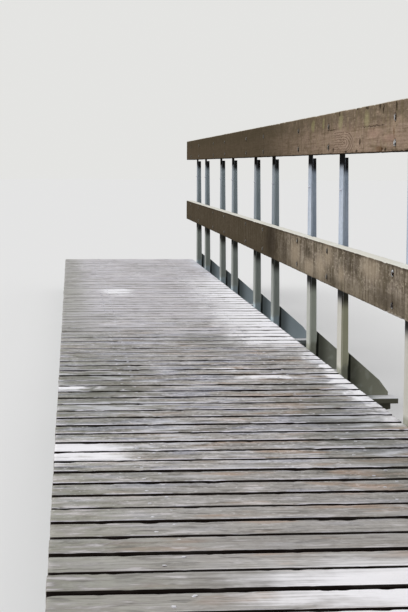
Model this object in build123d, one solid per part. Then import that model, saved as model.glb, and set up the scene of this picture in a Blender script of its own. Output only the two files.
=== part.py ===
"""Narrow footbridge: board deck on two steel girders, with a two-rail timber railing along one side.

Millimetres. X runs across the bridge with the railing on the +X side, Y runs along it, Z is up.
The origin is the middle of the bridge's footprint, on the ground.
"""
import os

from build123d import *

os.makedirs("parts", exist_ok=True)

# Deck
BAY_COUNT = 6
BOARDS_PER_BAY = 14
BOARD_WIDTH = 104.0
BOARD_GAP = 20.0
BOARD_THICKNESS = 36.0
DECK_WIDTH = 1000.0
BOARD_ARRIS = 2.5
# How far each board of a bay stops short of the deck's open edge
BOARD_TRIMS = (0.0, 3.0, 1.0, 4.0, 2.0, 0.0, 5.0, 1.0, 3.0, 0.0, 2.0, 4.0, 1.0, 2.0)

# Girders: rolled I-section
GIRDER_DEPTH = 200.0
GIRDER_FLANGE = 100.0
GIRDER_FLANGE_THICKNESS = 8.5
GIRDER_WEB = 5.6
GIRDER_ROOT = 12.0
GIRDER_SPACING = 550.0

# Cross members: rolled channel between the girder webs
CHANNEL_DEPTH = 100.0
CHANNEL_FLANGE = 50.0
CHANNEL_FLANGE_THICKNESS = 8.5
CHANNEL_WEB = 6.0
CHANNEL_END_SETBACK = 60.0

# Outriggers: flat hollow arms with a tapered rib below, one under each post
OUTRIGGER_WIDTH = 80.0
OUTRIGGER_HEIGHT = 20.0
OUTRIGGER_WALL = 3.0
OUTRIGGER_CORNER = 4.0
OUTRIGGER_REACH = 212.0
OUTRIGGER_DEPTH_BELOW_DECK = 92.0
RIB_THICKNESS = 8.0
RIB_DROP = 100.0
RIB_NOSE = 25.0
RIB_SETBACK = 20.0

# Posts: unequal angle, the long leg flat against the rails
POST_LONG_LEG = 80.0
POST_SHORT_LEG = 41.0
POST_SHORT_LEG_AT_SHOULDER = 31.0
POST_THICKNESS = 6.0
POST_ROOT = 7.0
POST_TOE = 3.0
POST_OFFSET = 600.0
POST_SPACING = 680.0
POST_TOP_SETBACK = 15.0
POST_SHOULDER_SETBACK = 10.0

# Gussets: upright plates behind the posts' outer legs, sloping down to the outriggers' ends
GUSSET_THICKNESS = 8.0
GUSSET_SETBACK = 4.0
GUSSET_RISE = 66.0
GUSSET_SHOULDER_REACH = 157.0
GUSSET_SHOULDER_FALL = 36.0
GUSSET_REACH = 190.0
GUSSET_NOSE = 12.0

# Rails: two sawn timbers, one above the other
RAIL_HEIGHT = 145.0
RAIL_THICKNESS = 48.0
RAIL_ARRIS = 4.0
LOWER_RAIL_CLEARANCE = 314.0
UPPER_RAIL_CLEARANCE = 775.0
RAIL_JOINT_BAY = 3
RAIL_JOINT_GAP = 2.0

# Sizes that follow
BOARD_PITCH = BOARD_WIDTH + BOARD_GAP
BAY_LENGTH = BOARD_PITCH * BOARDS_PER_BAY
LENGTH = BAY_LENGTH * BAY_COUNT
DECK_EDGE = DECK_WIDTH / 2
DECK_BOTTOM = GIRDER_DEPTH
DECK_TOP = DECK_BOTTOM + BOARD_THICKNESS
GIRDER_X = GIRDER_SPACING / 2
WEB_FACE = GIRDER_X + GIRDER_WEB / 2
OUTRIGGER_END = DECK_EDGE + OUTRIGGER_REACH
OUTRIGGER_TOP = DECK_TOP - OUTRIGGER_DEPTH_BELOW_DECK
OUTRIGGER_UNDERSIDE = OUTRIGGER_TOP - OUTRIGGER_HEIGHT
LOWER_RAIL_BOTTOM = DECK_TOP + LOWER_RAIL_CLEARANCE
UPPER_RAIL_BOTTOM = DECK_TOP + UPPER_RAIL_CLEARANCE
POST_TOP = UPPER_RAIL_BOTTOM + RAIL_HEIGHT - POST_TOP_SETBACK
POST_SHOULDER = UPPER_RAIL_BOTTOM - POST_SHOULDER_SETBACK
GUSSET_TOP = DECK_TOP + GUSSET_RISE
RAIL_JOINT = RAIL_JOINT_BAY * BAY_LENGTH + POST_OFFSET + POST_LONG_LEG / 2
# Moves the middle of the footprint to the origin: the outriggers widen it on one side only
TO_ORIGIN = Pos(-OUTRIGGER_REACH / 2, -LENGTH / 2, 0)


def save(name, solids):
    """Writes one node from a list of solids."""
    placed = [TO_ORIGIN * solid for solid in solids]
    shape = placed[0] if len(placed) == 1 else Compound(children=placed)
    export_step(shape, f"parts/{name}.step")


def box(x_range, y_range, z_range):
    """A block between two corners."""
    size = [high - low for low, high in (x_range, y_range, z_range)]
    middle = [(low + high) / 2 for low, high in (x_range, y_range, z_range)]
    return Pos(*middle) * Box(*size)


def along_y(sketch, start, length):
    """Extrudes a section drawn as (x, z) along the bridge."""
    plane = Plane(origin=(0, start, 0), x_dir=(1, 0, 0), z_dir=(0, -1, 0))
    return extrude(plane * sketch, amount=-length)


def along_x(sketch, start, length):
    """Extrudes a section drawn as (y, z) across the bridge."""
    plane = Plane(origin=(start, 0, 0), x_dir=(0, 1, 0), z_dir=(1, 0, 0))
    return extrude(plane * sketch, amount=length)


def hollow(width, height, wall, corner):
    """The section of a rectangular tube."""
    outside = RectangleRounded(width, height, corner)
    inside = RectangleRounded(width - 2 * wall, height - 2 * wall, corner - wall)
    return outside - inside


def deck_board(index, start):
    """One board with softened long edges."""
    trim = BOARD_TRIMS[index]
    low = start + index * BOARD_PITCH + BOARD_GAP / 2
    board = box((-DECK_EDGE + trim, DECK_EDGE), (low, low + BOARD_WIDTH), (DECK_BOTTOM, DECK_TOP))
    return chamfer(board.edges().filter_by(Axis.X), BOARD_ARRIS)


def girder(x):
    """One rolled beam over the whole length."""
    section = Rectangle(GIRDER_FLANGE, GIRDER_DEPTH)
    pocket_width = (GIRDER_FLANGE - GIRDER_WEB) / 2
    pocket = Rectangle(pocket_width, GIRDER_DEPTH - 2 * GIRDER_FLANGE_THICKNESS)
    for side in (-1, 1):
        section -= Pos(side * (GIRDER_WEB + pocket_width) / 2, 0) * pocket
    roots = section.vertices().filter_by(lambda v: abs(v.X) < GIRDER_FLANGE / 2 - 0.01)
    section = fillet(roots, GIRDER_ROOT)
    return along_y(Pos(x, GIRDER_DEPTH / 2) * section, 0, LENGTH)


def cross_member(y, facing):
    """One channel between the girder webs, its flanges pointing towards facing."""
    section = Rectangle(CHANNEL_FLANGE, CHANNEL_DEPTH)
    cut = Rectangle(CHANNEL_FLANGE - CHANNEL_WEB, CHANNEL_DEPTH - 2 * CHANNEL_FLANGE_THICKNESS)
    section -= Pos(facing * CHANNEL_WEB / 2, 0) * cut
    inner_face = GIRDER_X - GIRDER_WEB / 2
    return along_x(Pos(y, GIRDER_DEPTH / 2) * section, -inner_face, 2 * inner_face)


def outrigger(post_y):
    """One arm from the right-hand girder's web out past a post, flush with the gusset's far face."""
    far_edge = post_y + POST_LONG_LEG + GUSSET_THICKNESS
    y = far_edge - OUTRIGGER_WIDTH / 2
    middle = OUTRIGGER_TOP - OUTRIGGER_HEIGHT / 2
    section = hollow(OUTRIGGER_WIDTH, OUTRIGGER_HEIGHT, OUTRIGGER_WALL, OUTRIGGER_CORNER)
    arm = along_x(Pos(y, middle) * section, WEB_FACE, OUTRIGGER_END - WEB_FACE)
    nose = OUTRIGGER_END - RIB_SETBACK
    outline = Polyline(
        (WEB_FACE, OUTRIGGER_UNDERSIDE),
        (WEB_FACE, OUTRIGGER_UNDERSIDE - RIB_DROP),
        (nose, OUTRIGGER_UNDERSIDE - RIB_NOSE),
        (nose, OUTRIGGER_UNDERSIDE),
        close=True,
    )
    rib = along_y(make_face(outline), y - RIB_THICKNESS / 2, RIB_THICKNESS)
    return arm + rib


def gusset(post_y):
    """One plate standing on an outrigger, flat against the far face of a post's outer leg."""
    outline = Polyline(
        (DECK_EDGE + GUSSET_SETBACK, OUTRIGGER_TOP),
        (DECK_EDGE + GUSSET_SETBACK, GUSSET_TOP),
        (DECK_EDGE + POST_SHORT_LEG, GUSSET_TOP),
        (DECK_EDGE + GUSSET_SHOULDER_REACH, DECK_TOP - GUSSET_SHOULDER_FALL),
        (DECK_EDGE + GUSSET_REACH, OUTRIGGER_TOP + GUSSET_NOSE),
        (DECK_EDGE + GUSSET_REACH, OUTRIGGER_TOP),
        close=True,
    )
    return along_y(make_face(outline), post_y + POST_LONG_LEG, GUSSET_THICKNESS)


def post(y):
    """One angle post; its outer leg narrows above the gusset and stops below the upper rail."""
    outline = Polyline(
        (DECK_EDGE, y),
        (DECK_EDGE, y + POST_LONG_LEG),
        (DECK_EDGE + POST_SHORT_LEG, y + POST_LONG_LEG),
        (DECK_EDGE + POST_SHORT_LEG, y + POST_LONG_LEG - POST_THICKNESS),
        (DECK_EDGE + POST_THICKNESS, y + POST_LONG_LEG - POST_THICKNESS),
        (DECK_EDGE + POST_THICKNESS, y),
        close=True,
    )
    section = make_face(outline)
    root = section.vertices().sort_by_distance(
        (DECK_EDGE + POST_THICKNESS, y + POST_LONG_LEG - POST_THICKNESS, 0)
    )[0]
    section = fillet(root, POST_ROOT)
    toes = [
        section.vertices().sort_by_distance(point)[0]
        for point in (
            (DECK_EDGE + POST_THICKNESS, y, 0),
            (DECK_EDGE + POST_SHORT_LEG, y + POST_LONG_LEG - POST_THICKNESS, 0),
        )
    ]
    section = fillet(toes, POST_TOE)
    bar = Pos(0, 0, OUTRIGGER_TOP) * extrude(section, amount=POST_TOP - OUTRIGGER_TOP)
    cut_off = Polyline(
        (DECK_EDGE + POST_SHORT_LEG, GUSSET_TOP),
        (DECK_EDGE + POST_SHORT_LEG_AT_SHOULDER, POST_SHOULDER),
        (DECK_EDGE + POST_THICKNESS, POST_SHOULDER),
        (DECK_EDGE + POST_THICKNESS, POST_TOP + 1),
        (DECK_EDGE + POST_SHORT_LEG + 1, POST_TOP + 1),
        (DECK_EDGE + POST_SHORT_LEG + 1, GUSSET_TOP),
        close=True,
    )
    return bar - along_y(make_face(cut_off), y - 1, POST_LONG_LEG + 2)


def rail(start, end, bottom):
    """One length of railing timber with softened long edges."""
    timber = box((DECK_EDGE - RAIL_THICKNESS, DECK_EDGE), (start, end), (bottom, bottom + RAIL_HEIGHT))
    return fillet(timber.edges().filter_by(Axis.Y), RAIL_ARRIS)


bay_starts = [bay * BAY_LENGTH for bay in range(BAY_COUNT)]
post_starts = [
    start + POST_OFFSET + step for start in bay_starts for step in (0.0, POST_SPACING)
]

save("girder_left", [girder(-GIRDER_X)])
save("girder_right", [girder(GIRDER_X)])

channel_positions = [CHANNEL_END_SETBACK] + bay_starts[1:] + [LENGTH - CHANNEL_END_SETBACK]
for number, y in enumerate(channel_positions, 1):
    save(f"cross_member_{number}", [cross_member(y, 1 if y < LENGTH / 2 else -1)])

for number, start in enumerate(bay_starts, 1):
    save(f"deck_bay_{number}", [deck_board(index, start) for index in range(BOARDS_PER_BAY)])

for number, y in enumerate(post_starts, 1):
    save(f"post_{number}", [post(y)])
    save(f"outrigger_{number}", [outrigger(y)])
save("post_gussets", [gusset(y) for y in post_starts])

save("lower_rail_near", [rail(0, RAIL_JOINT - RAIL_JOINT_GAP / 2, LOWER_RAIL_BOTTOM)])
save("lower_rail_far", [rail(RAIL_JOINT + RAIL_JOINT_GAP / 2, LENGTH, LOWER_RAIL_BOTTOM)])
save("upper_rail_near", [rail(0, RAIL_JOINT - RAIL_JOINT_GAP / 2, UPPER_RAIL_BOTTOM)])
save("upper_rail_far", [rail(RAIL_JOINT + RAIL_JOINT_GAP / 2, LENGTH, UPPER_RAIL_BOTTOM)])
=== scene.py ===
"""Dresses the footbridge: silvered wet deck boards, stained rails, galvanised steelwork and its fixings."""

import math

import bpy
import numpy as np
from mathutils import Matrix, Vector


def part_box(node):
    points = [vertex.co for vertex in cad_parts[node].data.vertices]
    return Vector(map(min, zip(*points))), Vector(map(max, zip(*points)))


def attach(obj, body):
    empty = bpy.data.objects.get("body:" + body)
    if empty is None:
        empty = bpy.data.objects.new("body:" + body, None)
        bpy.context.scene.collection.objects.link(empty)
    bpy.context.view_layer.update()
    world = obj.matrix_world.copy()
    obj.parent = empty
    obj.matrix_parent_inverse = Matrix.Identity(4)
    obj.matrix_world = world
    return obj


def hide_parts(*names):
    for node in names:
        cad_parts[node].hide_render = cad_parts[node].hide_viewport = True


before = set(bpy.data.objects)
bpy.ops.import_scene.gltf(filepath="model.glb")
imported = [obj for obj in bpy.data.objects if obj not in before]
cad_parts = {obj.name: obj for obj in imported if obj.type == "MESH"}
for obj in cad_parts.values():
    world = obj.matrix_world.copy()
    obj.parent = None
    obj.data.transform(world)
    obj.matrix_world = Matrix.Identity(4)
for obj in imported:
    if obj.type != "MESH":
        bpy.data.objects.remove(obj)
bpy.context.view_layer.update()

MM = 0.001
BAYS = 6
POSTS = 12
BOARDS_PER_BAY = 14
bays = [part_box(f"deck_bay_{number}") for number in range(1, BAYS + 1)]
posts = [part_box(f"post_{number}") for number in range(1, POSTS + 1)]
rails = {
    (level, part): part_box(f"{level}_rail_{part}") for level in ("upper", "lower") for part in ("near", "far")
}
girders = [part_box(name) for name in ("girder_left", "girder_right")]
DECK_TOP = bays[0][1].z
OPEN_EDGE = bays[0][0].x
RAIL_EDGE = bays[0][1].x
BAY_LENGTH = bays[1][0].y - bays[0][0].y
BOARD_PITCH = BAY_LENGTH / BOARDS_PER_BAY
BOARD_WIDTH = bays[0][1].y - bays[0][0].y - (BOARDS_PER_BAY - 1) * BOARD_PITCH
POST_OUTSIDE = posts[0][1].x
GUSSET_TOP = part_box("post_gussets")[1].z
ARM_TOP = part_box("outrigger_1")[1].z
UPPER_LOW = rails["upper", "near"][0]
LOWER_LOW = rails["lower", "near"][0]
RAIL_HEIGHT = rails["upper", "near"][1].z - UPPER_LOW.z
# Four bolts hold the rails to each post, on one line up its wide leg
BOLT_HEIGHTS = [UPPER_LOW.z + 25 * MM, UPPER_LOW.z + 97 * MM, LOWER_LOW.z + 28 * MM, LOWER_LOW.z + 120 * MM]
BOLT_GAUGE = 40 * MM


# Workshop


def linear(code):
    """An sRGB hex colour as the linear RGBA that Blender mixes."""
    channels = [int(code[i : i + 2], 16) / 255 for i in (1, 3, 5)]
    return [c / 12.92 if c <= 0.04045 else ((c + 0.055) / 1.055) ** 2.4 for c in channels] + [1.0]


def add(tree, kind, inputs=None, stops=None, **settings):
    """Adds a node with its settings, then fills its inputs with values, sockets or other nodes' results."""
    node = tree.nodes.new(kind)
    for name, value in settings.items():
        setattr(node, name, value)
    for number, (place, colour) in enumerate(stops or []):
        ramp = node.color_ramp.elements
        stop = ramp[number] if number < 2 else ramp.new(place)
        stop.position = place
        stop.color = linear(colour)
    for key, value in (inputs or {}).items():
        if isinstance(key, str):
            socket = next(s for s in node.inputs if s.enabled and s.name == key)
        else:
            socket = node.inputs[key]
        if isinstance(value, bpy.types.Node):
            value = next(s for s in value.outputs if s.enabled)
        if isinstance(value, bpy.types.NodeSocket):
            tree.links.new(value, socket)
        else:
            socket.default_value = value
    return node


def finish(name):
    """An empty material: its tree, its shader and its object coordinates in metres."""
    made = bpy.data.materials.new(name)
    made.use_nodes = True
    tree = made.node_tree
    tree.nodes.clear()
    shader = add(tree, "ShaderNodeBsdfPrincipled")
    add(tree, "ShaderNodeOutputMaterial", {"Surface": shader})
    return made, tree, shader, add(tree, "ShaderNodeTexCoord").outputs["Object"]


def figure(tree, place, turn, patterns):
    """The figure of a surface: patterns by name, with the real size of their marks in mm along X, Y, Z."""
    made = {}
    for name, size, detail in patterns:
        spread = add(tree, "ShaderNodeMapping", {"Vector": place, "Scale": [1 / (s * MM) for s in size]})
        inputs = {"Vector": spread, "Scale": 1.0, "Detail": detail, "Roughness": 0.58, "Distortion": 0.3}
        if turn is not None:
            inputs["W"] = turn
        made[name] = add(
            tree, "ShaderNodeTexNoise", inputs, noise_dimensions="3D" if turn is None else "4D"
        ).outputs[0]
    return made


def weather(tree, body, coats):
    """Lays coats on a body: each a colour, its pattern, where that starts and is full, and a strength."""
    for colour, pattern, start, full, strength in coats:
        cover = add(
            tree, "ShaderNodeMapRange",
            {"Value": pattern, "From Min": start, "From Max": full, "To Max": strength},
            interpolation_type="SMOOTHSTEP",
        )
        body = add(
            tree, "ShaderNodeMix", {"Factor": cover, "A": body, "B": linear(colour)}, data_type="RGBA"
        )
    return body


def both(tree, first, start, full, second=1.0):
    """A pattern that shows where first runs from start to full and second lets it."""
    first = add(
        tree, "ShaderNodeMapRange", {"Value": first, "From Min": start, "From Max": full},
        interpolation_type="SMOOTHSTEP",
    )
    return add(tree, "ShaderNodeMath", {0: first, 1: second}, operation="MULTIPLY")


def patches(tree, place, spots):
    """1 at the middle of any of the spots, given as middle and reach in metres, falling to 0 at its rim."""
    nearest = None
    for middle, reach in spots:
        offset = add(tree, "ShaderNodeVectorMath", {0: place, 1: middle}, operation="SUBTRACT")
        offset = add(tree, "ShaderNodeVectorMath", {0: offset, 1: reach}, operation="DIVIDE")
        far = add(tree, "ShaderNodeVectorMath", {0: offset}, operation="LENGTH").outputs["Value"]
        if nearest is not None:
            far = add(tree, "ShaderNodeMath", {0: nearest, 1: far}, operation="MINIMUM")
        nearest = far
    return add(tree, "ShaderNodeMath", {0: 1.0, 1: nearest}, operation="SUBTRACT")


def jig(name, inputs):
    """A geometry tree with named inputs; returns it and its inputs' sockets."""
    tree = bpy.data.node_groups.new(name, "GeometryNodeTree")
    tree.interface.new_socket("Geometry", in_out="INPUT", socket_type="NodeSocketGeometry")
    for label, kind in inputs:
        tree.interface.new_socket(label, in_out="INPUT", socket_type="NodeSocket" + kind)
    tree.interface.new_socket("Geometry", in_out="OUTPUT", socket_type="NodeSocketGeometry")
    return tree, add(tree, "NodeGroupInput").outputs


def cut(name, mesh, tree, values):
    """Runs a jig on a mesh and keeps the result as a plain piece that rides on the bridge."""
    piece = bpy.data.objects.new(name, mesh)
    bpy.context.scene.collection.objects.link(piece)
    modifier = piece.modifiers.new(tree.name, "NODES")
    modifier.node_group = tree
    for item in tree.interface.items_tree:
        if item.in_out == "INPUT" and item.name in values:
            modifier[item.identifier] = values[item.name]
    bench = bpy.context.evaluated_depsgraph_get()
    plain = bpy.data.meshes.new_from_object(
        piece.evaluated_get(bench), preserve_all_data_layers=True, depsgraph=bench
    )
    plain.name = name
    piece.modifiers.remove(modifier)
    piece.data = plain
    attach(piece, "root")
    return piece


# Finish of the deck

# Spots on the boards: x and y of the middle, then the reach across and along the bridge, in metres
SKY_GLARE_SPOTS = [
    (-0.55, -2.47, 0.23, 0.19), (0.10, -3.74, 0.48, 0.27), (-0.24, -1.00, 0.08, 0.04),
    (0.11, -1.18, 0.14, 0.05), (0.00, -0.98, 0.10, 0.04), (-0.58, -1.40, 0.13, 0.07),
    (0.37, 0.75, 0.34, 1.45), (0.40, -1.20, 0.08, 1.20), (0.40, 2.15, 0.34, 1.70),
    (-0.29, 2.25, 0.14, 0.32), (0.31, 0.04, 0.27, 0.62),
]
DARKER_SPOTS = [
    (0.22, -2.20, 0.19, 1.50), (-0.46, -1.40, 0.28, 1.20), (0.10, -0.10, 0.30, 0.35),
    (-0.52, 0.95, 0.26, 1.70), (0.27, -2.05, 0.18, 0.40),
]


def deck_figure(tree, place, turn):
    """Each board's own figure, and the broad marks that rain has left from board to board."""
    # Growth rings are 6 mm apart here, coarser than the real 3 mm, so that they show
    own = [
        ("grain", (300, 6, 6), 4), ("fibre", (50, 2.2, 4), 3), ("cloud", (85, 30, 30), 4),
        ("patch", (260, 75, 75), 2), ("smudge", (120, 20, 26), 3), ("check", (120, 1.8, 3), 2),
        ("edge", (130, 400, 400), 4), ("film", (190, 60, 60), 4), ("grit", (11, 12, 12), 3),
    ]
    shared = [("sweep", (330, 190, 400), 4), ("drift", (75, 150, 400), 3)]
    return {**figure(tree, place, turn, own), **figure(tree, place, None, shared)}


def silver_ground(tree, y, tone, marks):
    """Silver along the grain, cloudy where feet have worn the near end smooth, in each board's own shade."""
    smooth = add(
        tree, "ShaderNodeMapRange", {"Value": y, "From Min": -2.6, "From Max": -3.6, "To Max": 0.60}
    )
    cloudy = add(
        tree, "ShaderNodeMath", {0: marks["cloud"], 1: 1.7, 2: -0.35}, operation="MULTIPLY_ADD"
    )
    ground = add(
        tree, "ShaderNodeMix", {"Factor": smooth, "A": marks["grain"], "B": cloudy}, data_type="FLOAT"
    )
    silver = add(
        tree, "ShaderNodeValToRGB", {0: ground},
        stops=[(0.30, "#66625f"), (0.76, "#dcd8d8"), (0.46, "#98948f"), (0.60, "#bcb8b6")],
    )
    shade = add(tree, "ShaderNodeMapRange", {"Value": tone, "To Min": 0.80, "To Max": 1.08})
    shade = add(tree, "ShaderNodeCombineXYZ", {0: shade, 1: shade, 2: shade})
    return add(
        tree, "ShaderNodeMix", {"Factor": 1.0, "A": silver, "B": shade}, data_type="RGBA",
        blend_type="MULTIPLY",
    )


def gap_sides_painted_pale(tree, y, turn):
    """The gap sides are painted pale further on, covering their shade, and every other one a little nearer."""
    farther_gaps = add(tree, "ShaderNodeMapRange", {"Value": y, "From Min": -0.8, "From Max": 0.9})
    nearer_gaps = add(
        tree, "ShaderNodeMapRange", {"Value": y, "From Min": -1.3, "From Max": -0.9, "To Max": 0.85}
    )
    own = add(tree, "ShaderNodeMath", {0: turn}, operation="FRACT")
    nearer_gaps = both(tree, own, 0.52, 0.60, nearer_gaps)
    return add(tree, "ShaderNodeMath", {0: farther_gaps, 1: nearer_gaps}, operation="MAXIMUM")


def rail_end_sheen(tree, x, y, marks):
    """A painted reflection keeps the board ends below the rail pale."""
    below = add(
        tree, "ShaderNodeMapRange",
        {"Value": x, "From Min": RAIL_EDGE - 105 * MM, "From Max": RAIL_EDGE - 25 * MM},
    )
    reached = add(tree, "ShaderNodeMapRange", {"Value": y, "From Min": -2.6, "From Max": -0.1})
    end_sheen = add(tree, "ShaderNodeMath", {0: below, 1: reached}, operation="MULTIPLY")
    return both(tree, marks["film"], 0.36, 0.60, end_sheen)


def deck_spots(tree, place, marks):
    """Where sky glare is painted on the boards and where they are darker, with edges that wander."""
    wobble = add(tree, "ShaderNodeCombineXYZ", {0: marks["drift"], 1: marks["film"]})
    wobble = add(tree, "ShaderNodeVectorMath", {0: wobble, 1: (0.5, 0.5, 0.0)}, operation="SUBTRACT")
    drawn = add(
        tree, "ShaderNodeVectorMath", {0: wobble, 1: (0.30, 0.14, 0.0), 2: place},
        operation="MULTIPLY_ADD",
    )
    sky_glare, walked = (
        patches(tree, drawn, [((x, y, DECK_TOP), (across, along, 1.0)) for x, y, across, along in spots])
        for spots in (SKY_GLARE_SPOTS, DARKER_SPOTS)
    )
    # The painted sky glare is ragged along the grain
    ragged = add(
        tree, "ShaderNodeMath", {0: marks["film"], 1: 1.4, 2: marks["grain"]}, operation="MULTIPLY_ADD"
    )
    sky_glare = add(
        tree, "ShaderNodeMath", {0: ragged, 1: 0.70, 2: sky_glare}, operation="MULTIPLY_ADD"
    )
    return add(tree, "ShaderNodeMath", {0: sky_glare, 1: 0.84}, operation="SUBTRACT"), walked


def silvered_softwood():
    """Softwood decking silvered by rain and still wet: grey along its grain, pale with painted reflections and
    glossy in places.
    """
    made, tree, shader, place = finish("silvered_wet_softwood")
    tone, up, lip = (
        add(tree, "ShaderNodeAttribute", attribute_name=label).outputs["Fac"]
        for label in ("tone", "up", "lip")
    )
    # Each board's tone is random; spread out, it turns the figure so that no two boards are alike
    turn = add(tree, "ShaderNodeMath", {0: tone, 1: 40.0}, operation="MULTIPLY")
    x, y = add(tree, "ShaderNodeSeparateXYZ", {0: place}).outputs[:2]
    marks = deck_figure(tree, place, turn)
    # Feet have worn the near end smooth, its arrises round; there the painted highlight on the lips is weaker
    # and the painted shade on the arrises reaches further
    rough = add(
        tree, "ShaderNodeMapRange", {"Value": y, "From Min": -3.7, "From Max": -2.3, "To Min": 0.15}
    )
    lip = add(tree, "ShaderNodeMath", {0: lip, 1: rough}, operation="MULTIPLY")
    worn = add(
        tree, "ShaderNodeMapRange",
        {"Value": y, "From Min": -3.7, "From Max": -2.5, "To Min": 0.22, "To Max": 0.0},
    )
    arris = add(tree, "ShaderNodeMath", {0: up, 1: worn}, operation="ADD")
    # Algae grows towards the open edge, where the boards stay damp, and tan heartwood shows opposite
    open_side = add(
        tree, "ShaderNodeMapRange",
        {"Value": x, "From Min": OPEN_EDGE, "From Max": OPEN_EDGE + 0.34, "To Min": 1.0, "To Max": 0.30},
    )
    rail_side = add(
        tree, "ShaderNodeMapRange",
        {"Value": x, "From Min": OPEN_EDGE + 0.15, "From Max": OPEN_EDGE + 0.6, "To Min": 0.55},
    )
    algae = both(tree, marks["cloud"], 0.34, 0.62, open_side)
    tan = both(tree, marks["patch"], 0.50, 0.70, rail_side)
    # Painted sheen: the far half is painted paler, in bands
    far_sheen = add(tree, "ShaderNodeMapRange", {"Value": y, "From Min": -1.1, "From Max": 2.2})
    far_sheen = add(tree, "ShaderNodeMath", {0: far_sheen, 1: marks["sweep"]}, operation="ADD")
    far_sheen = both(tree, far_sheen, 0.55, 1.35)
    # Painted sheen: rain still stands in a thin film on the middle boards, painted with bluish-white
    # highlights
    sheen = both(tree, y, -0.7, -1.1, both(tree, y, -3.0, -2.5))
    sky_glare, walked = deck_spots(tree, place, marks)
    normal = add(tree, "ShaderNodeNewGeometry").outputs["Normal"]
    end_grain = add(tree, "ShaderNodeSeparateXYZ", {0: normal}).outputs[0]
    end_grain = add(tree, "ShaderNodeMath", {0: end_grain}, operation="ABSOLUTE")
    body = weather(
        tree, silver_ground(tree, y, tone, marks),
        [
            ("#b0917a", tan, 0.0, 1.0, 0.60),
            ("#82866c", algae, 0.0, 1.0, 0.50),
            # Painted reflection: the sky's blue is painted into the grey where neither has settled
            ("#a4a9c0", both(tree, marks["patch"], 0.50, 0.36, rough), 0.0, 1.0, 0.42),
            ("#524e49", marks["cloud"], 0.52, 0.66, 0.60),
            ("#dcd8d8", marks["cloud"], 0.47, 0.34, 0.62),
            ("#3f3b36", marks["smudge"], 0.56, 0.72, 0.70),
            ("#4f4a45", both(tree, marks["grit"], 0.53, 0.68, rough), 0.0, 1.0, 0.65),
            ("#eceaeb", both(tree, marks["grit"], 0.46, 0.30, rough), 0.0, 1.0, 0.60),
            ("#62645c", walked, 0.0, 0.9, 0.62),
            ("#d2cfd4", far_sheen, 0.0, 1.0, 0.72),
            ("#dadce6", both(tree, marks["film"], 0.52, 0.66, sheen), 0.0, 1.0, 0.50),
            ("#6e6c60", both(tree, marks["sweep"], 0.46, 0.30, far_sheen), 0.0, 1.0, 0.45),
            # Algae greys the open edge of the far half too
            ("#7e7e6c", both(tree, open_side, 0.5, 1.0, far_sheen), 0.0, 1.0, 0.55),
            # Fine checks open along the grain
            ("#3a332c", marks["check"], 0.70, 0.77, 0.80),
            # Painted reflections of the sky: the board ends under the rail, and pale patches
            ("#dfe2eb", rail_end_sheen(tree, x, y, marks), 0.0, 1.0, 0.85),
            ("#fdfcff", sky_glare, 0.0, 0.65, 0.92),
            # Painted highlight on the lips; painted shade on the sides, painted pale again in the far gaps;
            # and end grain is brown
            ("#e4e2ea", both(tree, marks["edge"], 0.42, 0.54, lip), 0.10, 0.60, 0.85),
            ("#1f1713", arris, 0.97, 0.72, 1.0),
            ("#c6c2bf", both(tree, up, 0.97, 0.72, gap_sides_painted_pale(tree, y, turn)), 0.0, 1.0, 0.86),
            ("#8a8177", both(tree, end_grain, 0.6, 0.9), 0.0, 1.0, 0.80),
        ],
    )
    tree.links.new(body.outputs[2], shader.inputs["Base Color"])
    # Where water lies the boards shine; dry wood hardly does
    for socket, dry, wet in (("Roughness", 0.62, 0.30), ("Specular IOR Level", 0.12, 0.60)):
        shine = add(
            tree, "ShaderNodeMapRange",
            {"Value": marks["film"], "From Min": 0.46, "From Max": 0.66, "To Min": dry, "To Max": wet},
        )
        tree.links.new(shine.outputs[0], shader.inputs[socket])
    shader.inputs["IOR"].default_value = 1.45
    relief = add(tree, "ShaderNodeMath", {0: marks["grain"], 1: marks["fibre"]}, operation="ADD")
    bump = add(tree, "ShaderNodeBump", {"Strength": 0.6, "Distance": 1.6 * MM, "Height": relief})
    tree.links.new(bump.outputs[0], shader.inputs["Normal"])
    return made


# Finish of the rails

# A spot's reach in metres that goes right through a rail
THROUGH = 9.0


def rail_figure(tree, place):
    """The rails' own figure, upright streaks in the stain, lichen and dirt."""
    return figure(
        tree, place, None,
        [
            ("grain", (6, 240, 6), 3), ("streak", (400, 42, 300), 3), ("thin", (400, 20, 90), 2),
            ("crust", (300, 24, 60), 3), ("where", (900, 130, 900), 2), ("blotch", (90, 130, 40), 3),
            ("speck", (30, 30, 9), 3),
        ],
    )


def bolt_distance(tree, y, z):
    """How far a point of a rail's face lies from the nearest bolt, in metres."""
    nearest = 1.0
    for post_low, _ in posts[:2]:
        run = add(tree, "ShaderNodeMath", {0: y, 1: post_low.y + BOLT_GAUGE}, operation="SUBTRACT")
        run = add(
            tree, "ShaderNodeMath", {0: run, 1: BAY_LENGTH / 2, 2: -BAY_LENGTH / 2}, operation="WRAP"
        )
        for height in BOLT_HEIGHTS:
            drop = add(tree, "ShaderNodeMath", {0: z, 1: height}, operation="SUBTRACT")
            flat = add(tree, "ShaderNodeCombineXYZ", {0: run, 1: drop})
            ring = add(tree, "ShaderNodeVectorMath", {0: flat}, operation="LENGTH").outputs["Value"]
            nearest = add(tree, "ShaderNodeMath", {0: nearest, 1: ring}, operation="MINIMUM")
    return nearest


def on_rail(low, spot):
    """A spot's middle and reach: it is given as y, height above the underside, and reach along and up."""
    y, above, along, tall = spot
    return (0.0, y, low + above), (THROUGH, along, tall)


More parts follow.
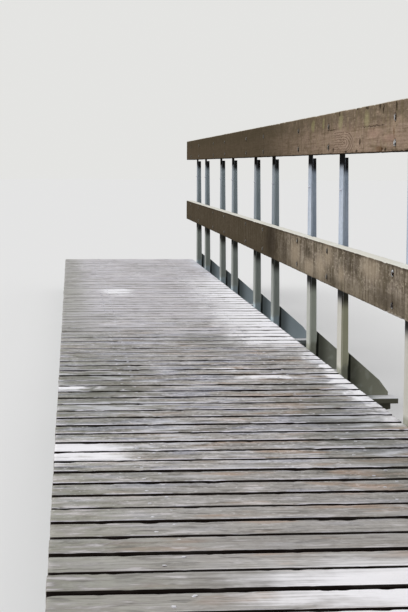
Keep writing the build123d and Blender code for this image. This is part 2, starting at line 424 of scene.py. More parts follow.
def knot_rings(tree, y, drawn, middle, reach):
    """Growth rings round a knot: the arch that they fill, and dark lines a fifth of its height apart."""
    # Behind the knot's middle the rings run straight on and fade out
    bared = both(tree, y, middle[1] + 2.2 * reach[1], middle[1] + 0.6 * reach[1])
    knot = add(
        tree, "ShaderNodeVectorMath", {0: drawn, 1: (THROUGH, middle[1], THROUGH)}, operation="MINIMUM"
    )
    knot = patches(tree, knot, [(middle, reach)])
    arch = both(tree, knot, -0.05, 0.05, bared)
    ring = add(tree, "ShaderNodeMath", {0: knot, 1: 1 / 10}, operation="PINGPONG")
    return arch, both(tree, ring, 0.040, 0.085, arch)


def rail_softwood(name, low, ramp, coats, placed, knot=None):
    """Sawn softwood under an old brown stain that rain has drawn into upright streaks, with lichen on it."""
    made, tree, shader, place = finish(name)
    y, z = add(tree, "ShaderNodeSeparateXYZ", {0: place}).outputs[1:]
    marks = rail_figure(tree, place)
    body = add(tree, "ShaderNodeValToRGB", {0: marks["grain"]}, stops=ramp)
    marks["up"] = add(tree, "ShaderNodeAttribute", attribute_name="up").outputs["Fac"]
    marks["bolt"] = bolt_distance(tree, y, z)
    marks["height"] = add(
        tree, "ShaderNodeMapRange", {"Value": z, "From Min": low, "From Max": low + RAIL_HEIGHT}
    )
    # Rain runs start at the top edge and fade on the way down
    marks["rained"] = add(
        tree, "ShaderNodeMath", {0: marks["height"], 1: 0.16, 2: marks["streak"]},
        operation="MULTIPLY_ADD",
    )
    # Thin runs come dark in some lengths and pale in others
    marks["thin"] = add(
        tree, "ShaderNodeMath", {0: marks["where"], 1: 0.6, 2: marks["thin"]}, operation="MULTIPLY_ADD"
    )
    # Painted shade: the far half hangs under cover and is painted darker
    marks["shaded"] = add(tree, "ShaderNodeMapRange", {"Value": y, "From Min": -1.4, "From Max": 0.9})
    # Marks in their places wander by a few millimetres
    wobble = add(tree, "ShaderNodeCombineXYZ", {1: marks["blotch"], 2: marks["speck"]})
    wobble = add(tree, "ShaderNodeVectorMath", {0: wobble, 1: (0.0, 0.5, 0.5)}, operation="SUBTRACT")
    drawn = add(
        tree, "ShaderNodeVectorMath", {0: wobble, 1: (0.0, 0.05, 0.016), 2: place},
        operation="MULTIPLY_ADD",
    )
    if knot is not None:
        marks["arch"], marks["ring"] = knot_rings(tree, y, drawn, *on_rail(low, knot))
    layers = [(colour, marks[label], start, full, strength) for colour, label, start, full, strength in coats]
    # The last two coats, round the bolts and along the top, lie over the marks in their places
    layers[-2:-2] = [
        (colour, patches(tree, drawn, [on_rail(low, spot) for spot in spots]), 0.0, full, strength)
        for colour, spots, full, strength in placed
    ]
    body = weather(tree, body, layers)
    tree.links.new(body.outputs[2], shader.inputs["Base Color"])
    shader.inputs["Roughness"].default_value = 0.8
    # Old stain drinks the rain, so the rails stay matt
    shader.inputs["Specular IOR Level"].default_value = 0.0
    relief = add(tree, "ShaderNodeMath", {0: marks["grain"], 1: marks["speck"]}, operation="ADD")
    bump = add(tree, "ShaderNodeBump", {"Strength": 0.5, "Distance": 1.6 * MM, "Height": relief})
    tree.links.new(bump.outputs[0], shader.inputs["Normal"])
    return made


def stained_rail():
    """The upper rail keeps most of its stain: warm brown with pink in it, darker streaks and a knot."""
    ramp = [(0.3, "#876f62"), (0.75, "#b79f91"), (0.5, "#a2897b")]
    coats = [
        ("#665851", "height", 0.45, 0.80, 0.75),
        ("#6b584b", "blotch", 0.50, 0.68, 0.55),
        ("#bda38f", "blotch", 0.46, 0.34, 0.45),
        ("#54443a", "speck", 0.54, 0.70, 0.55),
        ("#c2ab98", "speck", 0.45, 0.32, 0.45),
        ("#5b4b3f", "rained", 0.62, 0.74, 0.45),
        ("#b3ab78", "crust", 0.0, 1.0, 0.28),
        ("#b8a18f", "arch", 0.0, 1.0, 0.45),
        ("#5a4537", "ring", 0.0, 1.0, 0.60),
        ("#6a5b4c", "shaded", -0.15, 0.20, 0.28),
        ("#4e4536", "shaded", 0.0, 1.0, 0.86),
        # Its underside has painted shade, rust lies round the bolts, and the top has a painted highlight
        ("#241c15", "up", -0.15, -0.70, 0.85),
        ("#33261c", "bolt", 17 * MM, 10 * MM, 0.80),
        ("#d2cabb", "up", 0.25, 0.70, 0.8),
    ]
    nicks = [
        (-1.947, 0.137, 0.018, 0.012), (-1.300, 0.137, 0.014, 0.014), (-1.762, 0.140, 0.034, 0.009),
        (-2.166, 0.131, 0.013, 0.020), (-1.991, 0.128, 0.008, 0.022), (-1.60, 0.141, 0.022, 0.006),
        (-1.653, 0.036, 0.012, 0.014), (-1.97, 0.009, 0.022, 0.008), (-2.02, 0.008, 0.018, 0.007),
        (-1.184, 0.014, 0.018, 0.010), (-1.42, 0.006, 0.020, 0.006), (-1.60, 0.008, 0.030, 0.008),
    ]
    placed = [
        # Lichen drips
        ("#ada67c", [(-1.750, 0.104, 0.060, 0.042), (-1.32, 0.108, 0.060, 0.038)], 0.9, 0.55),
        ("#9a946a", [(-0.98, 0.111, 0.03, 0.026), (-0.76, 0.108, 0.05, 0.030)], 0.5, 0.50),
        # Shakes along the grain, then nicks and black spots at both edges
        ("#32271e", [(-1.84, 0.080, 0.23, 0.0024), (-1.15, 0.084, 0.13, 0.0022)], 0.5, 0.80),
        ("#2e241b", nicks, 0.5, 0.80),
        ("#6a4a2c", [(-2.14, 0.056, 0.012, 0.024), (-1.93, 0.010, 0.07, 0.012)], 0.6, 0.55),
        # Fresher wood shows pink where a splinter has come away
        ("#ae8e80", [(-1.86, 0.058, 0.15, 0.024), (-2.08, 0.040, 0.12, 0.020)], 0.9, 0.45),
    ]
    knot = (-1.39, 0.036, 0.16, 0.040)
    return rail_softwood("brown_stained_rail_softwood", UPPER_LOW.z, ramp, coats, placed, knot)


def washed_rail():
    """The lower rail gets the drips: its stain is washed to grey-brown in pale and dark runs."""
    ramp = [(0.3, "#7a6e64"), (0.75, "#998d82"), (0.5, "#8a7e73")]
    coats = [
        ("#5f554b", "blotch", 0.50, 0.66, 0.70),
        ("#b5aa9b", "blotch", 0.45, 0.34, 0.45),
        ("#4b4137", "rained", 0.58, 0.68, 0.65),
        ("#bcae9c", "rained", 0.52, 0.42, 0.60),
        ("#463c32", "thin", 0.84, 0.96, 0.50),
        ("#c3b6a4", "thin", 0.75, 0.64, 0.42),
        ("#4f453b", "speck", 0.54, 0.68, 0.50),
        ("#c9bdaa", "speck", 0.46, 0.33, 0.50),
        ("#675d50", "height", 0.50, 0.10, 0.55),
        ("#a59a75", "crust", 0.0, 1.0, 0.25),
        ("#4b4234", "shaded", 0.35, 0.85, 0.88),
        ("#3a2f26", "height", 0.91, 0.97, 0.60),
        ("#33261c", "bolt", 15 * MM, 9 * MM, 0.80),
        # Painted highlight: the top is pale with the sky's reflection
        ("#e3e1d6", "up", 0.5, 0.90, 0.95),
    ]
    bared = [
        (-1.85, 0.108, 0.22, 0.055), (-0.70, 0.036, 0.16, 0.060), (-0.36, 0.070, 0.20, 0.09),
        (-1.10, 0.104, 0.17, 0.060), (-0.96, 0.060, 0.16, 0.07), (-1.36, 0.058, 0.08, 0.04),
    ]
    old_stain = [
        (-0.66, 0.090, 0.12, 0.04), (-1.50, 0.112, 0.11, 0.05), (-1.61, 0.095, 0.05, 0.045),
        (-2.08, 0.035, 0.34, 0.045), (-1.20, 0.020, 0.20, 0.035), (-0.06, 0.050, 0.12, 0.12),
    ]
    placed = [
        # Rain has bared pale wood in places and left old stain in others
        ("#b3a38d", bared, 0.9, 0.65),
        ("#4f463b", old_stain, 0.9, 0.60),
        ("#2c251f", [(0.36, 0.080, 0.28, 0.14)], 0.8, 0.60),
        ("#b3a899", [(-2.20, 0.004, 0.22, 0.006)], 0.6, 0.7),
    ]
    return rail_softwood("rain_washed_rail_softwood", LOWER_LOW.z, ramp, coats, placed)


# Finishes of the metal


def shade_and_tannin_runs(tree, z, facing, across, upright):
    """Painted shade under each rail, with tannin run down from it, on the posts' sides towards the deck and
    the near end.
    """
    inner = add(tree, "ShaderNodeMath", {0: facing[0], 1: facing[1]}, operation="ADD")
    inner = both(tree, inner, 0.6, -0.3, upright)
    # The runs hang 18 mm lower on the faces across the bridge
    hang = add(tree, "ShaderNodeMath", {0: across, 1: 18 * MM, 2: z}, operation="MULTIPLY_ADD")
    return [
        both(
            tree, hang, low - reach, low - 16 * MM,
            both(tree, z, low + 20 * MM, low + 4 * MM, inner),
        )
        for low, reach in ((UPPER_LOW.z, 68 * MM), (LOWER_LOW.z, 92 * MM))
    ]


def arm_end_highlight(tree, x, y, facing):
    """A painted highlight keeps the outriggers bright on top at their ends, and over more of their length
    further on.
    """
    more = add(
        tree, "ShaderNodeMapRange", {"Value": y, "From Min": -0.8, "From Max": 0.2, "To Max": 100 * MM}
    )
    washed = add(tree, "ShaderNodeMath", {0: more, 1: x}, operation="ADD")
    washed = add(
        tree, "ShaderNodeMapRange",
        {"Value": washed, "From Min": RAIL_EDGE + 95 * MM, "From Max": RAIL_EDGE + 150 * MM},
    )
    return both(tree, facing[2], 0.6, 0.9, washed)


def dirt_and_shade_at_feet(tree, x, z, outer):
    """Splashed dirt and algae on gussets and feet, painted shade in the corner outside each post, and a
    painted shadow along the seam there.
    """
    past_post = add(tree, "ShaderNodeMath", {0: x, 1: POST_OUTSIDE + 4 * MM}, operation="SUBTRACT")
    # On the posts the dirt ends 50 mm lower than on the gussets
    on_post = both(tree, past_post, 0.0, -3 * MM)
    level = add(tree, "ShaderNodeMath", {0: on_post, 1: 50 * MM, 2: z}, operation="MULTIPLY_ADD")
    dirt = both(tree, level, GUSSET_TOP + 18 * MM, GUSSET_TOP - 14 * MM, outer)
    fading = both(tree, past_post, 70 * MM, 0.0, dirt)
    corner = both(tree, past_post, -3 * MM, 0.0, fading)
    aside = add(tree, "ShaderNodeMath", {0: past_post}, operation="ABSOLUTE")
    return dirt, corner, both(tree, aside, 8 * MM, 4 * MM, dirt)


def galvanised_steel():
    """Hot-dip zinc gone dull: cloudy spangle, upright rain marks, painted shade with stains under the rails,
    and stains low down.
    """
    made, tree, shader, place = finish("hot_dip_galvanised_steel")
    x, y, z = add(tree, "ShaderNodeSeparateXYZ", {0: place}).outputs
    normal = add(tree, "ShaderNodeNewGeometry").outputs["Normal"]
    facing = add(tree, "ShaderNodeSeparateXYZ", {0: normal}).outputs
    upright = add(tree, "ShaderNodeMapRange", {"Value": facing[2], "From Min": 0.7, "From Max": 0.3})
    across = add(tree, "ShaderNodeMapRange", {"Value": facing[1], "From Min": -0.4, "From Max": -0.9})
    # Spangle flakes are 12 mm across
    flakes = add(tree, "ShaderNodeTexVoronoi", {"Vector": place, "Scale": 1 / (12 * MM)})
    flake = add(tree, "ShaderNodeSeparateColor", {0: flakes.outputs["Color"]})
    marks = figure(
        tree, place, None,
        [("cloud", (90, 90, 160), 3), ("run", (12, 12, 420), 4), ("blotch", (30, 30, 40), 4)],
    )
    body = add(
        tree, "ShaderNodeValToRGB", {0: marks["cloud"]}, stops=[(0.3, "#b0bdd0"), (0.7, "#d3deee")]
    )
    upper_shade_and_stain, lower_shade_and_stain = shade_and_tannin_runs(tree, z, facing, across, upright)
    # Painted highlight on top of the arms' ends
    washed = arm_end_highlight(tree, x, y, facing)
    # Dirt is splashed only outside the deck's edge
    outside = add(
        tree, "ShaderNodeMapRange",
        {"Value": x, "From Min": RAIL_EDGE - 20 * MM, "From Max": RAIL_EDGE - 5 * MM},
    )
    outer = add(tree, "ShaderNodeMath", {0: upright, 1: outside}, operation="MULTIPLY")
    dirt, corner, seam_shadow = dirt_and_shade_at_feet(tree, x, z, outer)
    far = both(tree, y, -0.7, 0.5, outer)
    below = both(tree, z, LOWER_LOW.z + 20 * MM, LOWER_LOW.z - 90 * MM, outer)
    near = both(tree, y, -0.35, -0.90, below)
    further = both(tree, y, -0.90, -0.35, below)
    body = weather(
        tree, body,
        [
            ("#717d87", flake, 0.0, 1.0, 0.18),
            # Painted shade: the legs' faces across the bridge are painted duller
            ("#7a868f", across, 0.0, 1.0, 0.45),
            ("#6c706c", marks["run"], 0.54, 0.74, 0.45),
            # Painted shade: beyond the middle of the bridge the posts are painted a duller, more even grey
            ("#66727a", far, 0.0, 1.0, 0.85),
            ("#a3afb2", both(tree, across, 0.0, 1.0, far), 0.0, 1.0, 0.70),
            # The posts' lower halves are tinted, cream at the near end and greyer further on
            ("#ebe5d0", near, 0.0, 1.0, 0.75),
            ("#a2a287", both(tree, across, 0.0, 1.0, near), 0.0, 1.0, 0.85),
            ("#c4c4b2", further, 0.0, 1.0, 0.80),
            ("#a8aea4", both(tree, across, 0.0, 1.0, further), 0.0, 1.0, 0.80),
            ("#858c88", both(tree, y, -0.3, 0.5, further), 0.0, 1.0, 0.80),
            # Painted shade under each rail, with tannin stain in it
            ("#211c17", upper_shade_and_stain, 0.0, 0.9, 0.96),
            ("#2a2720", lower_shade_and_stain, 0.0, 0.9, 0.92),
            ("#9a9b8b", dirt, 0.0, 1.0, 0.85),
            ("#bcbeb0", both(tree, marks["blotch"], 0.45, 0.70, dirt), 0.0, 1.0, 0.50),
            ("#b3c2c9", both(tree, y, -0.6, 0.7, dirt), 0.0, 1.0, 0.85),
            # The outriggers have painted shade on their sides and are pale on top, with a painted highlight at
            # their ends
            ("#4a4638", both(tree, z, ARM_TOP + 4 * MM, ARM_TOP - 3 * MM, outer), 0.0, 1.0, 0.70),
            ("#b4b6a8", both(tree, facing[2], 0.6, 0.9, outside), 0.0, 1.0, 0.55),
            ("#ffffff", washed, 0.0, 1.0, 0.95),
            # Painted shade in the corner outside each post, and a painted shadow along the seam
            ("#2b2c22", corner, 0.0, 1.0, 0.65),
            ("#191a15", seam_shadow, 0.0, 1.0, 0.90),
        ],
    )
    tree.links.new(body.outputs[2], shader.inputs["Base Color"])
    # Stains with painted shade, dirt and the painted highlight at the arm ends lie dull over the zinc
    cover = upper_shade_and_stain
    for other in (lower_shade_and_stain, dirt, washed):
        cover = add(tree, "ShaderNodeMath", {0: cover, 1: other}, operation="MAXIMUM")
    for socket, bare in (("Metallic", 0.35), ("Specular IOR Level", 0.5)):
        shine = add(
            tree, "ShaderNodeMapRange", {"Value": cover, "From Max": 0.7, "To Min": bare, "To Max": 0.0}
        )
        tree.links.new(shine.outputs[0], shader.inputs[socket])
    rough = add(
        tree, "ShaderNodeMapRange",
        {"Value": marks["cloud"], "From Min": 0.3, "From Max": 0.7, "To Min": 0.60, "To Max": 0.42},
    )
    tree.links.new(rough.outputs[0], shader.inputs["Roughness"])
    bump = add(tree, "ShaderNodeBump", {"Strength": 0.25, "Distance": 0.6 * MM, "Height": marks["cloud"]})
    tree.links.new(bump.outputs[0], shader.inputs["Normal"])
    return made


def plated_bolts(name, ramp, rust_from, shade_from):
    """Zinc-plated steel dulled by rain: rust where the plating has gone, and painted shade from a y in metres
    on.
    """
    made, tree, shader, place = finish(name)
    marks = figure(tree, place, None, [("cloud", (9, 9, 9), 3), ("rust", (14, 14, 10), 3)])
    body = add(tree, "ShaderNodeValToRGB", {0: marks["cloud"]}, stops=ramp)
    y = add(tree, "ShaderNodeSeparateXYZ", {0: place}).outputs[1]
    shade_full = shade_from + 0.6
    body = weather(
        tree, body,
        [
            ("#4a3020", marks["rust"], rust_from, rust_from + 0.14, 0.8),
            # Painted shade from the given y on
            ("#4a4234", y, shade_from, shade_full, 0.9),
        ],
    )
    tree.links.new(body.outputs[2], shader.inputs["Base Color"])
    unshaded = both(tree, y, shade_full, shade_from, 0.85)
    tree.links.new(unshaded.outputs[0], shader.inputs["Metallic"])
    rough = add(
        tree, "ShaderNodeMapRange",
        {"Value": marks["cloud"], "From Min": 0.45, "From Max": 0.6, "To Min": 0.70, "To Max": 0.28},
    )
    tree.links.new(rough.outputs[0], shader.inputs["Roughness"])
    return made


deck_wood = silvered_softwood()
rail_wood = {"upper": stained_rail(), "lower": washed_rail()}
zinc = galvanised_steel()
bolt_zinc = plated_bolts("rusty_zinc_plated_bolts", [(0.47, "#2b2723"), (0.56, "#e2e5e8")], 0.50, -1.7)
# The screws take no painted shade: it would start past the far end
screw_steel = plated_bolts("bright_zinc_plated_screws", [(0.30, "#a9a9b0"), (0.60, "#f0f0f6")], 0.62, 6.0)


# Timber

# Wear reaches this far in from an arris, and the lip of a board is this wide
ARRIS_REACH = 22 * MM
LIP_WIDTH = 16 * MM
# A trim shortens this share of a timber's length, at its low end
TRIMMED_SHARE = 0.15


def unit(degrees):
    """The direction at an angle in a timber's section."""
    return np.array([math.cos(math.radians(degrees)), math.sin(math.radians(degrees))])


def timber_section(low, high, radius):
    """A timber's outline with rounded arrises: its points, how each faces, and how much it wears."""
    corners = ((high[0], high[1]), (low[0], high[1]), (low[0], low[1]), (high[0], low[1]))
    outline, facing, wear = [], [], []
    for number, corner in enumerate(corners):
        start = 90 * number
        centre = np.array(corner) + [-radius if c == h else radius for c, h in zip(corner, high)]
        for turn in (0, 45, 90):
            outline.append(centre + radius * unit(start + turn))
            facing.append(unit(start + turn))
            wear.append(1.0)
        arris = outline[-1]
        side = (high - low)[number % 2] - 2 * radius
        steps = max(3, min(7, round(side / (9 * MM))))
        for step in range(1, steps):
            # The points lie closer together near the arrises
            walked = side * (1 - math.cos(math.pi * step / steps)) / 2
            outline.append(arris + walked * unit(start + 180))
            facing.append(unit(start + 90))
            wear.append(max(0.0, 1.0 - min(walked, side - walked) / ARRIS_REACH))
    return np.array(outline), np.array(facing), wear


def timber_blank(name, low, high, axis, pitch, radius):
    """A closed timber along one axis, in rings, whose points know how they face, wear and are trimmed."""
    low, high = np.array(low, dtype=float), np.array(high, dtype=float)
    section = [(axis + 1) % 3, (axis + 2) % 3]
    outline, facing, wear = timber_section(low[section], high[section], radius)
    middle = (low + high)[section] / 2
    half = (high - low)[section] / 2
    steps = max(2, round((high[axis] - low[axis] - 2 * radius) / pitch))
    places = [low[axis], *np.linspace(low[axis] + radius, high[axis] - radius, steps + 1), high[axis]]
    rings, count = len(places), len(outline)
    points = np.zeros((rings, count, 3))
    points[:, :, axis] = np.array(places)[:, None]
    points[:, :, section] = outline
    for end in (0, -1):
        points[end][:, section] = middle + (outline - middle) * (half - radius) / half
    up = np.tile(facing[:, section.index(2)], (rings, 1))
    arris = np.tile(wear, (rings, 1))
    # The cut ends chip less than the long arrises
    arris[[0, -1]] = 0.4
    # The lip is the top of a board next to its -Y edge, and the end is the part that a trim shortens
    lip = np.clip(1 - (points[:, :, 1] - low[1]) / LIP_WIDTH, 0, 1) * np.clip(1.5 * up, 0, 1)
    trimmed = TRIMMED_SHARE * (high[axis] - low[axis])
    end = np.clip(1 - (points[:, :, axis] - low[axis]) / trimmed, 0, 1)
    faces = [tuple(reversed(range(count)))]
    for k in range(rings - 1):
        for i in range(count):
            j = (i + 1) % count
            faces.append((k * count + i, k * count + j, (k + 1) * count + j, (k + 1) * count + i))
    faces.append(tuple(range((rings - 1) * count, rings * count)))
    mesh = bpy.data.meshes.new(name)
    mesh.from_pydata(points.reshape(-1, 3).tolist(), [], faces)
    mesh.polygons.foreach_set("use_smooth", [0 < i < len(faces) - 1 for i in range(len(faces))])
    for label, values in (("arris", arris), ("up", up), ("lip", lip), ("end", end)):
        mesh.attributes.new(label, "FLOAT", "POINT").data.foreach_set("value", values.ravel())
    return mesh


def bitten(tree, given, spot, turn, label, start, full):
    """How deep wear or chips bite into each point; the jig gives their grain and their greatest depth."""
    spread = add(tree, "ShaderNodeVectorMath", {0: spot, 1: given[label + " grain"]}, operation="MULTIPLY")
    noise = add(
        tree, "ShaderNodeTexNoise", {"Vector": spread, "W": turn, "Scale": 1.0, "Detail": 3.0},
        noise_dimensions="4D",
    )
    bite = add(
        tree, "ShaderNodeMapRange", {"Value": noise.outputs[0], "From Min": start, "From Max": full}
    )
    return add(tree, "ShaderNodeMath", {0: bite, 1: given[label]}, operation="MULTIPLY")


def weathered_timbers():
    """A row of like timbers, each worn, chipped, sunk and trimmed in its own way, and always inwards."""
    tree, given = jig(
        "weathered_timbers",
        [
            ("Count", "Int"), ("Step", "Vector"), ("Sink", "Float"), ("Trim", "Float"), ("Wear", "Float"),
            ("Chip", "Float"), ("Wear grain", "Vector"), ("Chip grain", "Vector"), ("Seed", "Int"),
            ("Material", "Material"),
        ],
    )
    line = add(
        tree, "GeometryNodeMeshLine", {"Count": given["Count"], "Offset": given["Step"]}, mode="OFFSET"
    )
    row = add(tree, "GeometryNodeInstanceOnPoints", {"Points": line, "Instance": given["Geometry"]})
    chance = add(
        tree, "FunctionNodeRandomValue",
        {"Min": 0.0, "Max": 1.0, "ID": add(tree, "GeometryNodeInputIndex"), "Seed": given["Seed"]},
        data_type="FLOAT",
    )
    row = add(
        tree, "GeometryNodeStoreNamedAttribute", {"Geometry": row, "Name": "tone", "Value": chance},
        data_type="FLOAT", domain="INSTANCE",
    )
    timbers = add(tree, "GeometryNodeRealizeInstances", {"Geometry": row})
    tone, arris, end = (
        add(tree, "GeometryNodeInputNamedAttribute", {"Name": label}, data_type="FLOAT")
        for label in ("tone", "arris", "end")
    )
    spot = add(tree, "GeometryNodeInputPosition")
    turn = add(tree, "ShaderNodeMath", {0: tone, 1: 61.0}, operation="MULTIPLY")
    # All faces wear, and only the arrises chip
    worn = bitten(tree, given, spot, turn, "Wear", 0.25, 0.75)
    chipped = bitten(tree, given, spot, turn, "Chip", 0.54, 0.70)
    chipped = add(tree, "ShaderNodeMath", {0: chipped, 1: arris}, operation="MULTIPLY")
    deep = add(tree, "ShaderNodeMath", {0: worn, 1: chipped}, operation="ADD")
    deep = add(tree, "ShaderNodeMath", {0: deep, 1: -1.0}, operation="MULTIPLY")
    normal = add(tree, "GeometryNodeInputNormal")
    inwards = add(tree, "ShaderNodeVectorMath", {0: normal, "Scale": deep}, operation="SCALE")
    trim = add(tree, "ShaderNodeMath", {0: tone, 1: given["Trim"]}, operation="MULTIPLY")
    trim = add(tree, "ShaderNodeMath", {0: trim, 1: end}, operation="MULTIPLY")
    sink = add(tree, "ShaderNodeMath", {0: turn}, operation="FRACT")
    sink = add(tree, "ShaderNodeMath", {0: sink, 1: given["Sink"]}, operation="MULTIPLY")
    sink = add(tree, "ShaderNodeMath", {0: sink, 1: -1.0}, operation="MULTIPLY")
    shift = add(tree, "ShaderNodeCombineXYZ", {0: trim, 2: sink})
    shift = add(tree, "ShaderNodeVectorMath", {0: shift, 1: inwards}, operation="ADD")
    timbers = add(tree, "GeometryNodeSetPosition", {"Geometry": timbers, "Offset": shift})
    timbers = add(tree, "GeometryNodeSetMaterial", {"Geometry": timbers, "Material": given["Material"]})
    add(tree, "NodeGroupOutput", {0: timbers})
    return tree


timbers_tree = weathered_timbers()
# The two nearest bays are worn smooth, and the others are rougher
SMOOTH_BAYS = 2
for number, (low, high) in enumerate(bays, 1):
    first_high = Vector((high.x, low.y + BOARD_WIDTH, high.z))
    boards = cut(
        f"deck_boards_{number}",
        timber_blank("deck_board_blank", low, first_high, axis=0, pitch=8 * MM, radius=2 * MM),
        timbers_tree,
        {
            "Count": BOARDS_PER_BAY, "Step": [0.0, BOARD_PITCH, 0.0], "Sink": 2.0 * MM, "Trim": 2 * MM,
            "Wear": (1.4 if number <= SMOOTH_BAYS else 3.0) * MM, "Chip": 3.0 * MM,
            "Wear grain": [1 / (s * MM) for s in (110, 45, 60)],
            "Chip grain": [1 / (s * MM) for s in (55, 14, 18)], "Seed": 20 + number, "Material": deck_wood,
        },
    )
    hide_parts(f"deck_bay_{number}")

for seed, ((level, part), (low, high)) in enumerate(rails.items()):
    rail = cut(
        f"{level}_rail_timber_{part}",
        timber_blank("rail_blank", low, high, axis=1, pitch=12 * MM, radius=4 * MM),
        timbers_tree,
        {
            "Count": 1, "Step": [0.0, 0.0, 0.0], "Sink": 0.0, "Trim": 0.0, "Wear": 1.6 * MM, "Chip": 5.0 * MM,
            "Wear grain": [1 / (s * MM) for s in (60, 160, 70)],
            "Chip grain": [1 / (s * MM) for s in (20, 24, 20)], "Seed": seed, "Material": rail_wood[level],
        },
    )
    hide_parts(f"{level}_rail_{part}")


# Fixings


def washered_heads():
    """A head on a round washer at every point, each turned its own way; bolts have six sides."""
    tree, given = jig(
        "washered_heads",
        [
            ("Washer radius", "Float"), ("Washer thickness", "Float"), ("Head radius", "Float"),
            ("Head height", "Float"), ("Sides", "Int"), ("Facing", "Float"), ("Seed", "Int"),
            ("Material", "Material"),
        ],
    )
    joined = add(tree, "GeometryNodeJoinGeometry")
    washer_sides = 20
    base = 0.0
    for sides, radius, height in (
        (washer_sides, given["Washer radius"], given["Washer thickness"]),
        (given["Sides"], given["Head radius"], given["Head height"]),
    ):
        drum = add(
            tree, "GeometryNodeMeshCylinder", {"Vertices": sides, "Radius": radius, "Depth": height},
            fill_type="NGON",
        )
        lift = add(tree, "ShaderNodeMath", {0: height, 1: 0.5, 2: base}, operation="MULTIPLY_ADD")
        rise = add(tree, "ShaderNodeCombineXYZ", {2: lift})
        placed = add(tree, "GeometryNodeTransform", {"Geometry": drum, "Translation": rise})
        tree.links.new(placed.outputs[0], joined.inputs[0])
        base = height
    tilt = add(tree, "ShaderNodeCombineXYZ", {1: given["Facing"]})
    heads = add(
        tree, "GeometryNodeInstanceOnPoints",
        {"Points": given["Geometry"], "Instance": joined, "Rotation": tilt},
    )
    turn = add(
        tree, "FunctionNodeRandomValue", {"Min": 0.0, "Max": math.tau, "Seed": given["Seed"]},
        data_type="FLOAT",
    )
    turn = add(tree, "ShaderNodeCombineXYZ", {2: turn})
    heads = add(
        tree, "GeometryNodeRotateInstances", {"Instances": heads, "Rotation": turn, "Local Space": True}
    )
    heads = add(tree, "GeometryNodeRealizeInstances", {"Geometry": heads})
    heads = add(tree, "GeometryNodeSetMaterial", {"Geometry": heads, "Material": given["Material"]})
    add(tree, "NodeGroupOutput", {0: heads})
    return tree


fixings_tree = washered_heads()
# Heads bite into the worn face of the rails, and nuts sit on the far face of the posts' wide legs
HEAD_SUNK = 1.0 * MM
POST_STEEL = 6 * MM
STUD_ABOVE_DECK = 650 * MM
SCREW_SUNK = 4.2 * MM
# A board's two screws over each girder: how far off its web, and how far across the board
SCREW_PLACES = ((-9 * MM, 0.26), (32 * MM, 0.82))
heads, nuts, studs, screws = [], [], [], []
for low, _ in posts:
    for height in BOLT_HEIGHTS:
        heads.append((UPPER_LOW.x + HEAD_SUNK, low.y + BOLT_GAUGE, height))
        nuts.append((low.x + POST_STEEL, low.y + BOLT_GAUGE, height))
    studs.append((low.x, low.y + BOLT_GAUGE, DECK_TOP + STUD_ABOVE_DECK))
for low, _ in bays:
    for board in range(BOARDS_PER_BAY):
        for girder_low, girder_high in girders:
            web = (girder_low.x + girder_high.x) / 2
            for side, along in SCREW_PLACES:
                spot = low.y + board * BOARD_PITCH + along * BOARD_WIDTH
                screws.append((web + side, spot, DECK_TOP - SCREW_SUNK))

# Sizes in mm: the washer's radius and thickness, and the head's radius and height
SIZE_LABELS = ("Washer radius", "Washer thickness", "Head radius", "Head height")
for name, points, facing, metal, sides, sizes in (
    ("rail_bolt_heads", heads, -math.pi / 2, bolt_zinc, 6, (10, 1.2, 8.0, 2.6)),
    ("rail_bolt_nuts", nuts, math.pi / 2, bolt_zinc, 6, (12, 2.5, 9.2, 8)),
    ("post_studs", studs, -math.pi / 2, screw_steel, 6, (6, 1.5, 4.5, 5)),
    ("deck_screws", screws, 0.0, screw_steel, 8, (6.0, 1.4, 4.5, 1.6)),
):
    cloud = bpy.data.meshes.new(name)
    cloud.from_pydata(points, [], [])
    values = {label: size * MM for label, size in zip(SIZE_LABELS, sizes)}
    values.update({"Sides": sides, "Facing": facing, "Seed": 3, "Material": metal})
    fixings = cut(name, cloud, fixings_tree, values)

# The steelwork keeps its shape and takes its finish
for name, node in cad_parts.items():
    if not name.startswith(("deck_bay", "upper_rail", "lower_rail")):
        node.data.materials.clear()
        node.data.materials.append(zinc)


# Studio

SKY = 0.42
SUN = 2.1
SUN_FROM = Vector((-0.60, -0.02, 0.80)).normalized()
PALE = linear("#e9e9e7")


def shown_rays(tree):
    """1 for the rays that show a surface as it is: to the camera, mirrored or seen through."""
    rays = add(tree, "ShaderNodeLightPath").outputs
    shown = add(
        tree, "ShaderNodeMath", {0: rays["Is Camera Ray"], 1: rays["Is Glossy Ray"]}, operation="MAXIMUM"
    )
    return add(tree, "ShaderNodeMath", {0: shown, 1: rays["Is Transmission Ray"]}, operation="MAXIMUM")


def floor_paint():
    """Matt pale paint; it throws back a little less light than it shows."""
    made = bpy.data.materials.new("pale_floor")
    made.use_nodes = True
    tree = made.node_tree
    tree.nodes.clear()
    colour = add(
        tree, "ShaderNodeMix", {"Factor": shown_rays(tree), "A": linear("#a8a8a6"), "B": PALE},
        data_type="RGBA",
    )
    matt = add(tree, "ShaderNodeBsdfDiffuse", {"Color": colour})
    add(tree, "ShaderNodeOutputMaterial", {"Surface": matt})
    return made


def studio_floor():
    """A pale floor, so wide that it runs into the backdrop."""
    reach = 90.0
    corners = [(-reach, -reach, 0), (reach, -reach, 0), (reach, reach, 0), (-reach, reach, 0)]
    mesh = bpy.data.meshes.new("floor")
    mesh.from_pydata(corners, [], [(0, 1, 2, 3)])
    mesh.materials.append(floor_paint())
    floor = bpy.data.objects.new("floor", mesh)
    bpy.context.scene.collection.objects.link(floor)


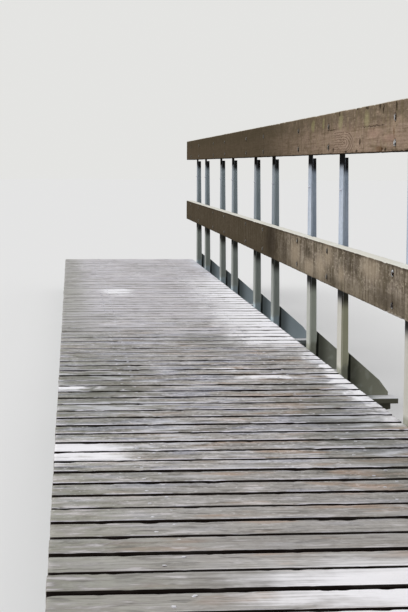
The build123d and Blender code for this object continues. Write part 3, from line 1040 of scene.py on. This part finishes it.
def studio_backdrop():
    """A backdrop as pale as the lit floor, which lights the bridge evenly from all around."""
    world = bpy.data.worlds.new("studio")
    bpy.context.scene.world = world
    world.use_nodes = True
    tree = world.node_tree
    tree.nodes.clear()
    level = SKY + SUN * SUN_FROM.z / math.pi
    backdrop = [channel * level for channel in PALE[:3]] + [1.0]
    colour = add(
        tree, "ShaderNodeMix", {"Factor": shown_rays(tree), "A": [SKY, SKY, SKY * 1.04, 1], "B": backdrop},
        data_type="RGBA",
    )
    background = add(tree, "ShaderNodeBackground", {"Color": colour, "Strength": 1.0})
    add(tree, "ShaderNodeOutputWorld", {"Surface": background})


def studio_lamp():
    """A broad soft light from above the open side."""
    lamp = bpy.data.lights.new("broad_soft_light", "SUN")
    lamp.energy = SUN
    lamp.angle = math.radians(50)
    holder = bpy.data.objects.new("broad_soft_light", lamp)
    holder.rotation_euler = SUN_FROM.to_track_quat("Z", "Y").to_euler()
    bpy.context.scene.collection.objects.link(holder)


def viewpoint():
    """Stands where the photograph was taken: low over the deck, just inside its open edge."""
    width, height = 408, 612
    focal = 1445.0
    vanishing = (71.0, 164.5)
    sensor = 36.0
    roll = math.radians(0.2)
    along = Vector((vanishing[0] - width / 2, height / 2 - vanishing[1], -focal)).normalized()
    up = Vector((-math.sin(roll), math.cos(roll), 0.0))
    up = (up - up.dot(along) * along).normalized()
    across = along.cross(up)
    inside_edge, before_girders, above_deck = 47 * MM, 957 * MM, 735 * MM
    stand = Vector((OPEN_EDGE + inside_edge, girders[0][0].y - before_girders, DECK_TOP + above_deck))
    lens = bpy.data.cameras.new("photo_camera")
    lens.sensor_width = sensor
    lens.lens = focal * sensor / height
    lens.clip_end = 300.0
    eye = bpy.data.objects.new("photo_camera", lens)
    eye.matrix_world = Matrix.Translation(stand) @ Matrix((across, along, up)).to_4x4()
    bpy.context.scene.collection.objects.link(eye)
    bpy.context.scene.camera = eye


studio_floor()
studio_backdrop()
studio_lamp()
viewpoint()
bpy.context.scene.view_settings.view_transform = "Standard"
